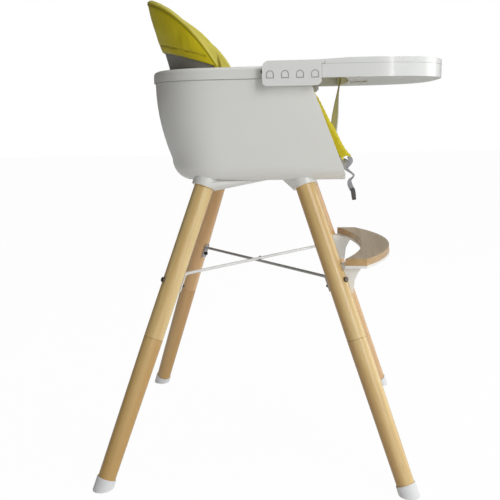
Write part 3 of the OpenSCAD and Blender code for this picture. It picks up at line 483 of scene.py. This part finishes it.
def mesh_piece(name, points, faces, uv=None):
    mesh = bpy.data.meshes.new(name)
    mesh.from_pydata([tuple(p) for p in points], [], faces)
    if uv is not None:
        layer = mesh.uv_layers.new(name="uv")
        for loop in mesh.loops:
            layer.data[loop.index].uv = uv[loop.vertex_index]
    mesh.polygons.foreach_set("use_smooth", [True] * len(mesh.polygons))
    mesh.update()
    piece = bpy.data.objects.new(name, mesh)
    bpy.context.scene.collection.objects.link(piece)
    return piece


def ring_piece(name, rings, uv=None):
    """A closed surface through rings of points, capped at its two ends."""
    n, m = len(rings), len(rings[0])
    faces = [(i * m + j, i * m + (j + 1) % m, (i + 1) * m + (j + 1) % m, (i + 1) * m + j)
             for i in range(n - 1) for j in range(m)]
    faces.append(tuple(range(m))[::-1])
    faces.append(tuple((n - 1) * m + j for j in range(m)))
    piece = mesh_piece(name, [p for ring in rings for p in ring], faces, uv)
    bm = bmesh.new()
    bm.from_mesh(piece.data)
    bmesh.ops.recalc_face_normals(bm, faces=bm.faces)
    bm.to_mesh(piece.data)
    bm.free()
    return piece


def heading(line, i):
    """The direction of a line of points at its point i."""
    return (line[min(i + 1, len(line) - 1)] - line[max(i - 1, 0)]).normalized()


def circle(centre, a, b, radius, sides=8):
    """Points round a circle in the plane of the directions a and b."""
    return [centre + (a * math.cos(g) + b * math.sin(g)) * radius
            for g in (2 * math.pi * k / sides for k in range(sides))]


def curve_points(route, step):
    """Points about step apart on a smooth line through the route."""
    p = [Vector(q) for q in route]
    p = [p[0] * 2 - p[1]] + p + [p[-1] * 2 - p[-2]]
    out = []
    for i in range(1, len(p) - 2):
        count = max(2, int((p[i + 1] - p[i]).length / step))
        for k in range(count):
            t = k / count
            out.append(0.5 * ((2 * p[i]) + (p[i + 1] - p[i - 1]) * t
                              + (2 * p[i - 1] - 5 * p[i] + 4 * p[i + 1] - p[i + 2]) * t * t
                              + (3 * p[i] - p[i - 1] - 3 * p[i + 1] + p[i + 2]) * t ** 3))
    return out + [p[-2]]


def webbing(name, route, width, thick, turn=lambda t: 0.0, step=3 * MM, cup=0.0):
    """A flat band along a route in the X-Z plane, turned about its own line by turn(t) degrees, with its
    edges raised over its middle by cup."""
    line = curve_points(route, step)
    rows, uv, run = [], [], 0.0
    section = [(k / 8 - 0.5, 0.5) for k in range(9)] + [(0.5 - k / 8, -0.5) for k in range(9)]
    for i, p in enumerate(line):
        d = heading(line, i)
        if i:
            run += (p - line[i - 1]).length
        across = Quaternion(d, math.radians(turn(i / (len(line) - 1)))) @ Vector((0, 1, 0))
        across = (across - d * across.dot(d)).normalized()
        up = d.cross(across)
        row = []
        for a, b in section:
            pinch = 0.35 + 0.65 * min(1.0, (0.5 - abs(a)) * 10)  # thinner at the two selvedges
            row.append(p + across * (a * width) + up * (b * thick * pinch + cup * (a * a * 4 - 0.5)))
            uv.append((a * width, run))
        rows.append(row)
    return ring_piece(name, rows, uv)


def tube(name, line, radius, sides):
    rows = []
    for i, p in enumerate(line):
        d = heading(line, i)
        steep = abs(d.z) >= 0.95
        a = d.cross(Vector((1, 0, 0)) if steep else Vector((0, 0, 1))).normalized()
        rows.append(circle(p, a, d.cross(a), radius, sides))
    return ring_piece(name, rows)


def coil(name, low, high, centre, radius, wire, turns=7):
    """A coil spring along x between low and high, with its first and last turns closed."""
    rows = []
    steps = turns * 20
    for i in range(steps + 1):
        t = i / steps
        a = 2 * math.pi * turns * t
        out = Vector((0, math.cos(a), math.sin(a)))
        x = lerp(low + wire, high - wire, smooth(t * 1.08 - 0.04))
        rows.append(circle(Vector((x, centre.y, centre.z)) + out * radius, out, Vector((1, 0, 0)), wire))
    return ring_piece(name, rows)


spring_low, spring_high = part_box("release_springs")
SPRING_R, WIRE_R, SPRING_GAP = 2.9 * MM, 0.45 * MM, 0.5 * MM
for side, s in (("left", 1), ("right", -1)):
    centre = Vector((0, s * (spring_high.y - SPRING_R - SPRING_GAP), (spring_low.z + spring_high.z) / 2))
    spring = coil(f"spring_{side}", spring_low.x, spring_high.x, centre, SPRING_R, WIRE_R)
    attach(spring, "tray")
    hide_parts("release_springs")
    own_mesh(spring)
    dress(spring, steel_bright)


# ---------------- back cushion: a pocket over the backrest
# The inner seat's outline in millimetres, as in the CAD model. Its rear is a half round about ARC_X.
ARC_X = -60
SIDE_W, REAR_X = 168, 178  # half its width and its reach to the rear, both at LEAN_Z
LEAN_Z, BACK_LEAN = 790, 0.29  # the back leans from this height up, by this slope
WING_LOW, BACK_TOP, CROWN = 784, 926, 28  # the backrest's edge: at its ends, at its top, swell between
WING = math.radians(88)  # the cushion reaches this far round on each side
HEM_UP = 12.0  # the hem's stitches over its edge
CHANNELS = ((24, 2.8), (48, 2.8), (69, 6.5))  # sewn channels: degrees from the middle, and depth
STEPS = 150  # sections round the back


def liner_w(z, o):
    """The inner seat's half width at the height z, o out from its surface."""
    return SIDE_W + o - 16 * (max(LEAN_Z - z, 0) / 180) ** 1.4


def liner_rear(z, o):
    """Its reach to the rear at the height z, o out from its surface."""
    if z > LEAN_Z:
        return REAR_X + o + BACK_LEAN * (z - LEAN_Z)
    return REAR_X + o - 58 * ((LEAN_Z - z) / 184) ** 1.15


def liner_top(a):
    """The height of the backrest's edge at the angle a round the back."""
    a = abs(a)
    return WING_LOW + (BACK_TOP - WING_LOW) * math.cos(a) + CROWN * math.sin(a) ** 2 * math.sin(2 * a)


def back_point(a, z, o):
    """A point at the signed angle a round the back (0 is the middle), height z, o out from the inner seat."""
    s = abs(a)
    y = math.copysign(liner_w(z, o) * math.sin(s), a)
    return at(ARC_X - (ARC_X + liner_rear(z, o)) * math.cos(s), y, z)


def hem_z(a):
    """The height of the cover's lower edge outside."""
    return min(790 + 40 * math.cos(a), liner_top(a) - 6)


def wrinkle(x, y, seed):
    """Smooth noise, the same on every run."""
    return noise.noise(Vector((x, y, seed)))


# the band over the top: offset, height over the backrest's edge, and share of the roll to the rear
BAND = ((3.7, 3.4, 0.35), (2.0, 4.9, 0.7), (-1.0, 5.9, 0.9), (-5.0, 6.3, 1.0), (-9.0, 6.2, 1.0),
        (-12.5, 5.3, 0.95), (-15.5, 3.8, 0.8), (-17.6, 1.9, 0.55), (-18.6, 0.4, 0.3))


def back_profile(a):
    """(offset, height) pairs of the cover at angle a, from under the hem, up its outside to the piped seam,
    and over the top in a rounded band to the inner seam, with the height of the backrest's edge."""
    top, hem = liner_top(a), hem_z(a)
    size = min(1.0, (top - hem) / 60)
    out = [(0.9, hem + 1.5), (1.2, hem - 0.4), (3.2, hem - 0.6), (4.4, hem + 0.8)]
    for k in range(1, 22):
        t = k / 22
        z = lerp(hem + 1.0, top - 1.2, t)
        full = math.sin(math.pi * t) ** 0.7
        stitch = -1.1 * dip(z - hem, HEM_UP, 1.5) * size
        folds = wrinkle(math.degrees(a) / 9, z / 26, 2.0)
        folds += 0.6 * wrinkle(math.degrees(a) / 3.4, z / 60, 7.0)
        out.append((4.2 + (2.2 * full + 1.5 * folds * full) * size + stitch, z))
    roll = 6 * math.cos(a)
    out += [(4.2, top - 0.3), (2.9, top + 0.7), (4.0, top + 1.9)]
    wave = 0.5 * wrinkle(math.degrees(a) / 6, 0.3, 4.0)
    for o, lift, share in BAND:
        out.append((o, top + lift + wave + roll * share))
    return out, top


def back_ring(a):
    """The cushion's closed section at the angle a: outside, top band, inside, bottom and pocket."""
    outer, top = back_profile(a)
    ring = list(outer)
    ring.append((-17.9, top - 0.8))  # the inner seam's groove
    count = 30
    for k in range(1, count):
        t = k / count
        z = lerp(top - 2.2, 641, t)
        soft = math.sin(math.pi * min(t * 1.1 + 0.04, 1.0)) ** 0.5
        channel = 0.0
        for place, deep in CHANNELS:
            channel += deep * dip(abs(math.degrees(a)), place, 1.8)
        channel *= smooth(t * 9) * smooth((1 - t) * 9)
        folds = wrinkle(math.degrees(a) / 14, z / 34, 11.0)
        ring.append((-19.0 - 5.0 * soft - 1.5 * folds * soft + channel, z))
    ring += [(-17.0, 639.0), (-12.0, 638.2), (-6.5, 638.6), (-4.3, 641.0), (-4.3, 700.0), (-4.4, top - 6)]
    ring += [(-4.1, top + 0.9), (0.9, top + 0.9), (0.9, lerp(top, outer[0][1], 0.5))]
    return [back_point(a, z, o) for o, z in ring]


def puff(piece, cap, voxel=None, pinned=(), keep=None):
    """Swells a closed piece with Blender's Cloth, holding every point within cap of where it was. With a
    voxel size the piece is remeshed first and subdivided after. Keep is called on every point at the end."""
    scene = bpy.context.scene
    if voxel:
        remesh = piece.modifiers.new("remesh", "REMESH")
        remesh.mode = "VOXEL"
        remesh.voxel_size = voxel
        apply(piece, "remesh")
    mesh = piece.data
    count = len(mesh.vertices)
    start = np.empty(count * 3, dtype=np.float32)
    mesh.vertices.foreach_get("co", start)
    start = start.reshape(-1, 3)
    cloth = piece.modifiers.new("cloth", "CLOTH")
    cloth.settings.quality = 5
    cloth.settings.mass = 0.25
    cloth.settings.tension_stiffness = 18
    cloth.settings.compression_stiffness = 18
    cloth.settings.shear_stiffness = 8
    cloth.settings.bending_stiffness = 0.6
    cloth.settings.use_pressure = True
    cloth.settings.uniform_pressure_force = 4.0
    cloth.settings.effector_weights.gravity = 0
    cloth.collision_settings.use_collision = False
    if len(pinned):
        group = piece.vertex_groups.new(name="pinned")
        group.add([int(k) for k in pinned], 1.0, "REPLACE")
        cloth.settings.vertex_group_mass = "pinned"
    cloth.point_cache.frame_start, cloth.point_cache.frame_end = 1, 20
    for f in range(1, 21):
        scene.frame_set(f)
    evaluated = piece.evaluated_get(bpy.context.evaluated_depsgraph_get())
    moved = np.empty(count * 3, dtype=np.float32)
    evaluated.data.vertices.foreach_get("co", moved)
    moved = moved.reshape(-1, 3)
    piece.modifiers.remove(cloth)
    step = moved - start
    length = np.linalg.norm(step, axis=1, keepdims=True)
    step *= np.minimum(1.0, cap / np.maximum(length, 1e-9))
    mesh.vertices.foreach_set("co", (start + step).ravel())
    scene.frame_set(1)
    mesh.update()
    if voxel:
        relax = piece.modifiers.new("relax", "SMOOTH")
        relax.factor, relax.iterations = 0.5, 2
        apply(piece, "relax")
        finer = piece.modifiers.new("finer", "SUBSURF")
        finer.levels = finer.render_levels = 1
        apply(piece, "finer")
    if keep:
        for v in piece.data.vertices:
            keep(v.co)
    if len(pinned):
        piece.vertex_groups.clear()
    piece.data.polygons.foreach_set("use_smooth", [True] * len(piece.data.polygons))


rows = [back_ring(WING * (i / (STEPS / 2) - 1)) for i in range(STEPS + 1)]
back = ring_piece("back_cushion", rows)
ring_size = len(rows[0])
held = [j < 4 or 24 < j < 29 or j >= ring_size - 9 for j in range(ring_size)]  # hem, seams and pocket
puff(back, 3 * MM, pinned=[i * ring_size + j for i in range(len(rows)) for j in range(ring_size)
                           if held[j] or i in (0, len(rows) - 1)])
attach(back, "chair")
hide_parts("cushion_back")
dress(back, cover_yellow)
# the faces over the top and down the inside take the copy that paints sheen and shade
back.data.materials.append(cover_inside_sheen_shade)
for k, face in enumerate(back.data.polygons):
    face.material_index = 1 if 28 <= k % ring_size < 72 else 0  # from the inner seam down to the pocket

# piping on the seam between the outer panel and the band
seam = [back_point(WING * t, liner_top(WING * t) + 0.7, 4.2) for t in np.linspace(-1, 1, 160)]
piping = tube("back_piping", seam, 1.25 * MM, 10)
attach(piping, "chair")
dress(piping, piping_yellow)


DASH, DASH_GAP, THREAD = 3.2 * MM, 1.6 * MM, 0.45 * MM


def stitches(name, line):
    """A row of short thread dashes along a line of points."""
    points, faces, left, draw = [], [], 0.0, True
    for p, q in zip(line, line[1:]):
        d = q - p
        run = 0.0
        while d.length - run > left:
            run += left
            here = p + d.normalized() * run
            if draw:
                end = here + d.normalized() * DASH
                side = d.normalized().cross(Vector((0, 0, 1))).normalized() * THREAD
                up = Vector((0, 0, 1)) * THREAD
                base = len(points)
                for c in (here, end):
                    points += [c + side, c + up, c - side, c - up]
                for k in range(4):
                    faces.append((base + k, base + (k + 1) % 4, base + 4 + (k + 1) % 4, base + 4 + k))
                faces += [tuple(base + k for k in (3, 2, 1, 0)), tuple(base + 4 + k for k in range(4))]
            left = DASH if draw else DASH_GAP
            draw = not draw
        left -= d.length - run
    piece = mesh_piece(name, points, faces)
    piece.data.polygons.foreach_set("use_smooth", [False] * len(piece.data.polygons))
    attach(piece, "chair")
    return dress(piece, thread_dark)


for row, up in enumerate((HEM_UP - 0.8, HEM_UP + 1.6)):
    angles = [WING * t for t in np.linspace(-0.985, 0.985, 240)]
    line = [back_point(a, hem_z(a) + up, 4.9 + 0.5 * row) for a in angles if liner_top(a) - hem_z(a) > 22]
    stitches(f"hem_stitch_{row}", line)

# ---------------- side pads and seat pad


SIDE_TOP, SIDE_LOW, SIDE_ROWS = 777, 613, 18


def front_x(z):
    """The front edge of a side pad at the height z, a little past the seat's own."""
    return min(113 + (750 - z) * 0.388, 176) + 1 + max(5.5 + 0.146 * (745 - z), 0)


def soft_end(z):
    """Fades the sewn line of a side pad out towards its top and bottom."""
    return smooth(min(z - SIDE_LOW, SIDE_TOP - z) / 14)


def side_ring(q, s):
    """The section of a side pad at q from its rear (0) to the seat's front edge (1), a closed loop."""
    ring = []
    wall = -LINER_T / MM
    end = smooth(min(q, 1 - q) * 12)
    channel = 2.6 * dip(q, 0.93, 0.018) + 2.2 * dip(q, 0.5, 0.012)
    for k in range(SIDE_ROWS + 1):
        t = k / SIDE_ROWS
        z = lerp(SIDE_TOP, SIDE_LOW, t)
        soft = math.sin(math.pi * t) ** 0.45
        folds = wrinkle(q * 11, z / 30, 5.0)
        swell = 10.5 * soft + 1.3 * folds * soft - channel * soft
        ring.append((wall - 2.2 - swell * (0.35 + 0.65 * end), z))
    for k in range(SIDE_ROWS + 1):
        t = k / SIDE_ROWS
        z = lerp(SIDE_LOW, SIDE_TOP, t)
        pucker = 0.7 * wrinkle(q * 9, z / 9, 4.0) * smooth((q - 0.9) * 12)
        sewn = max(1.5 * dip(q, 0.966, 0.006) + pucker, 0)
        ring.append((wall - 1.0 - 0.3 * math.sin(math.pi * t) - sewn * soft_end(z), z))
    return [at(lerp(ARC_X + 5, front_x(z), q), s * liner_w(z, o), z) for o, z in ring]


def behind_liner(p, s):
    """Holds a point of a side pad clear of the seat's side."""
    most = liner_w(p.z / MM, -LINER_T / MM - 0.9) * MM
    if s * p.y > most:
        p.y = s * most


PAN, PAD_MOST = 607, 626.5 + 1.7  # the seat's floor, and the underside of the webs on the pad


def on_pan(p):
    """Keeps the seat pad above the pan and below the webs that lie on it."""
    p.z = min(max(p.z, PAN * MM), PAD_MOST * MM)


SIDE_SECTIONS = [0.0, 0.01, 0.03, *np.linspace(0.06, 0.93, 50), *np.linspace(0.935, 1.0, 22)]
for side, s in (("left", 1), ("right", -1)):
    rows = [side_ring(q, s) for q in SIDE_SECTIONS]
    pad = ring_piece(f"side_pad_{side}", rows)
    puff(pad, 3 * MM, 4 * MM, keep=lambda p, s=s: behind_liner(p, s))
    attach(pad, "chair")
    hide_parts(f"cushion_side_{side}")
    dress(pad, cover_yellow)


PAD_HALF, PAD_FRONT, PAD_R = 122, 177, 14  # the seat pad's half width, front edge and front corners
PAD_REAR, PAD_OVAL = -30, 62  # its rear is a half oval from this place, this deep
PAD_MIDDLE = 45


def pad_outline(grow):
    """The seat pad's outline in millimetres, as points round it."""
    out = []
    x1, y1 = PAD_FRONT - PAD_R, PAD_HALF - PAD_R
    for k in range(49):
        a = math.radians(90 + 180 * k / 48)
        out.append((PAD_REAR + (PAD_OVAL + grow) * math.cos(a), (PAD_HALF + grow) * math.sin(a)))
    for k in range(1, 30):
        out.append((lerp(PAD_REAR, x1, k / 30), -PAD_HALF - grow))
    for k in range(13):
        a = math.radians(-90 + 90 * k / 12)
        out.append((x1 + (PAD_R + grow) * math.cos(a), -y1 + (PAD_R + grow) * math.sin(a)))
    for k in range(1, 34):
        out.append((PAD_FRONT + grow, lerp(-y1, y1, k / 34)))
    for k in range(13):
        a = math.radians(90 * k / 12)
        out.append((x1 + (PAD_R + grow) * math.cos(a), y1 + (PAD_R + grow) * math.sin(a)))
    for k in range(1, 30):
        out.append((lerp(x1, PAD_REAR, k / 30), PAD_HALF + grow))
    return out


def pad_dome(x, y, share):
    """The rise of the pad's top over its edge: a crown, sewn lines, folds and the crotch web's slot."""
    quilt = dip(abs(y), 62, 2.2) + dip(x, 60, 2.2)
    dome = 1.6 * (1 - share ** 3) - 2.2 * quilt * smooth((0.97 - share) * 9)
    dome += 0.9 * wrinkle(x / 28, y / 28, 3.0) * (1 - share ** 2)
    return dome - 3.5 * dip(x, 112, 6) * smooth((20 - abs(y)) / 6)


def seat_pad():
    rows = []
    # shrink towards the pad's middle, height, and growth of the outline, from the underside up and inwards
    section = [(1.0, 607.4, 0), (1.0, 607.0, -2.5), (1.0, 610, -0.4), (1.0, 616.0, 0.0), (1.0, 621, -0.6),
               (1.0, 624.2, -2.6), (0.97, 625.6, -4)]
    section += [(0.97 * (1 - k / 14) + 0.02, 625.6, -4) for k in range(1, 15)]
    for share, z, grow in section:
        row = []
        for x, y in pad_outline(grow):
            px, py = PAD_MIDDLE + (x - PAD_MIDDLE) * share, y * share
            row.append(at(px, py, z + (pad_dome(px, py, share) if z > 625 else 0.0)))
        rows.append(row)
    piece = ring_piece("seat_cushion", rows)
    puff(piece, 3 * MM, 4.5 * MM, keep=on_pan)
    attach(piece, "chair")
    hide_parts("cushion_seat")
    return dress(piece, cover_yellow)


seat_pad()

# ---------------- webbing and straps


def back_x(z, y, o):
    """The place along x of the backrest's face at the height z and y, o out from it."""
    return ARC_X - (ARC_X + liner_rear(z, o)) * math.sqrt(1 - (y / liner_w(z, o)) ** 2)


# where the webs lie: millimetres from the chair's middle, and (x, z) points over the seat pad
SHOULDER_Y, WAIST_Y = 45, 70.6
SHOULDER = ((-84, 644), (-64, 632), (-40, 629.8), (0, 629.5), (40, 629.5))
WAIST = ((-60, 634.5), (-30, 629.6), (0, 629.5), (40, 629.5))
CROTCH = ((112, 609), (112, 618), (113.5, 626.3), (119, 629), (135, 629.2), (150, 629), (176, 629),
          (184, 625), (188.6, 617), (189.3, 611.6))


def harness_web(name, node, route):
    """A flat web that lies on the cushions."""
    band = webbing(name, route, 25 * MM, 1.5 * MM)
    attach(band, "chair")
    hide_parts(node)
    dress(band, web_light)


for side, s in (("left", 1), ("right", -1)):
    route = [at(back_x(z, SHOULDER_Y, -27.5), s * SHOULDER_Y, z) for z in (800, 770, 740, 710, 685, 662)]
    route += [at(x, s * SHOULDER_Y, z) for x, z in SHOULDER]
    harness_web(f"shoulder_web_{side}", f"shoulder_strap_{side}", route)
    harness_web(f"waist_web_{side}", f"waist_strap_{side}", [at(x, s * WAIST_Y, z) for x, z in WAIST])
harness_web("crotch_web", "crotch_strap", [at(x, 0, z) for x, z in CROTCH])

# (x, z) points of the strap from the seat's front edge down to the buckle
HANG = ((189.4, 611.4), (194.5, 602), (188.5, 592), (185, 586), (200, 573), (199.5, 568), (192.5, 560.5),
        (193, 552), (196, 545), (196.6, 540))


def hang_turn(t):
    """Its twist in degrees along its length."""
    return 17 + 9 * math.sin(9 * t)


web = webbing("hanging_web", [at(x, 0, z) for x, z in HANG], 24 * MM, 1.6 * MM, hang_turn, 1.5 * MM)
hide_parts("buckle_strap")
dress(web, web_mid)
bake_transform(web)

# (x, z) points of the tray's strap from its underside down to its anchor
TIE = ((173.5, 785), (171, 764), (166.5, 738), (163, 712), (160.5, 688), (158, 664), (155, 646), (151, 634.5))


def tie_turn(t):
    """Its twist in degrees along its length."""
    return 24 * smooth((t - 0.1) / 0.55) * smooth((1 - t) / 0.2)


tie = webbing("tray_tie", [at(x, 0, z) for x, z in TIE], 36 * MM, 2.6 * MM, tie_turn, cup=1.2 * MM)
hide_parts("tray_strap")
dress(tie, strap_bound)
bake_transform(tie)

# ---------------- stage, light and camera
FLOOR = 12
floor_mesh = bpy.data.meshes.new("floor")
floor_mesh.from_pydata([(-FLOOR, -FLOOR, 0), (FLOOR, -FLOOR, 0), (FLOOR, FLOOR, 0), (-FLOOR, FLOOR, 0)], [],
                       [(0, 1, 2, 3)])
floor = bpy.data.objects.new("floor", floor_mesh)
bpy.context.scene.collection.objects.link(floor)
floor.location.z = -0.5 * MM
paper = Shader("floor_paper", 0.9, Specular_IOR_Level=0.1)
tone = paper.mix((0.93, 0.93, 0.93), (0.90, 0.90, 0.90), paper.noise(paper.coords(), 3.0))
glow = paper.add("ShaderNodeEmission")
glow.inputs["Strength"].default_value = 1.0
ray = paper.add("ShaderNodeLightPath")
part_white = paper.span(ray.outputs["Is Camera Ray"], 0.12, 0.975)  # pale to look at, dimmer as a light
both = paper.add("ShaderNodeMixShader")
paper.l.new(part_white, both.inputs["Fac"])
paper.l.new(paper.b.outputs["BSDF"], both.inputs[1])
paper.l.new(glow.outputs["Emission"], both.inputs[2])
paper.l.new(both.outputs["Shader"], paper.n["Material Output"].inputs["Surface"])
floor.data.materials.append(paper.done(tone))

world = bpy.data.worlds.new("studio")
bpy.context.scene.world = world
world.use_nodes = True
wn, wl = world.node_tree.nodes, world.node_tree.links
sky = wn["Background"]  # white to look at, and as a light dark at the rear and pale at the front
sky.inputs["Strength"].default_value = 1.0
where = wn.new("ShaderNodeTexCoord")
split = wn.new("ShaderNodeSeparateXYZ")
wl.new(where.outputs["Generated"], split.inputs["Vector"])
fade = wn.new("ShaderNodeMapRange")
wl.new(split.outputs["X"], fade.inputs["Value"])
for key, value in (("From Min", -0.9), ("From Max", 0.9), ("To Min", 0.0), ("To Max", 1.0)):
    fade.inputs[key].default_value = value
seen = wn.new("ShaderNodeLightPath")
tint = wn.new("ShaderNodeValToRGB")
wl.new(fade.outputs["Result"], tint.inputs["Fac"])
tint.color_ramp.elements[0].color = (0.045, 0.036, 0.022, 1)
tint.color_ramp.elements[1].color = (0.42, 0.43, 0.43, 1)
choose = wn.new("ShaderNodeMix")
choose.data_type = "RGBA"
wl.new(seen.outputs["Is Camera Ray"], choose.inputs[0])
wl.new(tint.outputs["Color"], choose.inputs[6])
choose.inputs[7].default_value = (1, 1, 1, 1)
wl.new(choose.outputs[2], sky.inputs["Color"])


def area(name, place, target, size, watts):
    data = bpy.data.lights.new(name, "AREA")
    data.shape = "RECTANGLE"
    data.size, data.size_y = size
    data.energy = watts
    lamp = bpy.data.objects.new(name, data)
    bpy.context.scene.collection.objects.link(lamp)
    lamp.location = place
    lamp.rotation_mode = "QUATERNION"
    lamp.rotation_quaternion = (Vector(target) - Vector(place)).to_track_quat("-Z", "Y")


area("key", (1.9, -2.6, 2.1), (0, 0, 0.6), (1.6, 1.6), 40)
area("top", (0.5, 0.3, 3.0), (0, 0, 0.6), (2.2, 2.2), 26)
area("strip", (1.52, -2.5, 0.95), (0.2, -0.2, 0.8), (0.14, 1.3), 7)
area("right", (2.6, 0.8, 1.2), (0, 0, 0.7), (1.4, 2.0), 18)

bpy.context.scene.view_settings.view_transform = "Standard"

camera = bpy.data.cameras.new("camera")
camera.sensor_width = 36.0
camera.lens = 53.178
camera.clip_start, camera.clip_end = 0.05, 60
eye = bpy.data.objects.new("camera", camera)
bpy.context.scene.collection.objects.link(eye)
EYE = Vector((0.07891, -1.57657, 0.70057))
YAW, PITCH, ROLL = -0.08174, 0.18071, -0.01891  # to the child's left, downwards, and about the view
ahead = Vector((math.sin(YAW) * math.cos(PITCH), math.cos(YAW) * math.cos(PITCH), -math.sin(PITCH)))
level = Vector((math.cos(YAW), -math.sin(YAW), 0))
upright = level.cross(ahead)
right = level * math.cos(ROLL) + upright * math.sin(ROLL)
above = upright * math.cos(ROLL) - level * math.sin(ROLL)
eye.matrix_world = Matrix.Translation(EYE) @ Matrix((right, above, -ahead)).transposed().to_4x4()
bpy.context.scene.camera = eye
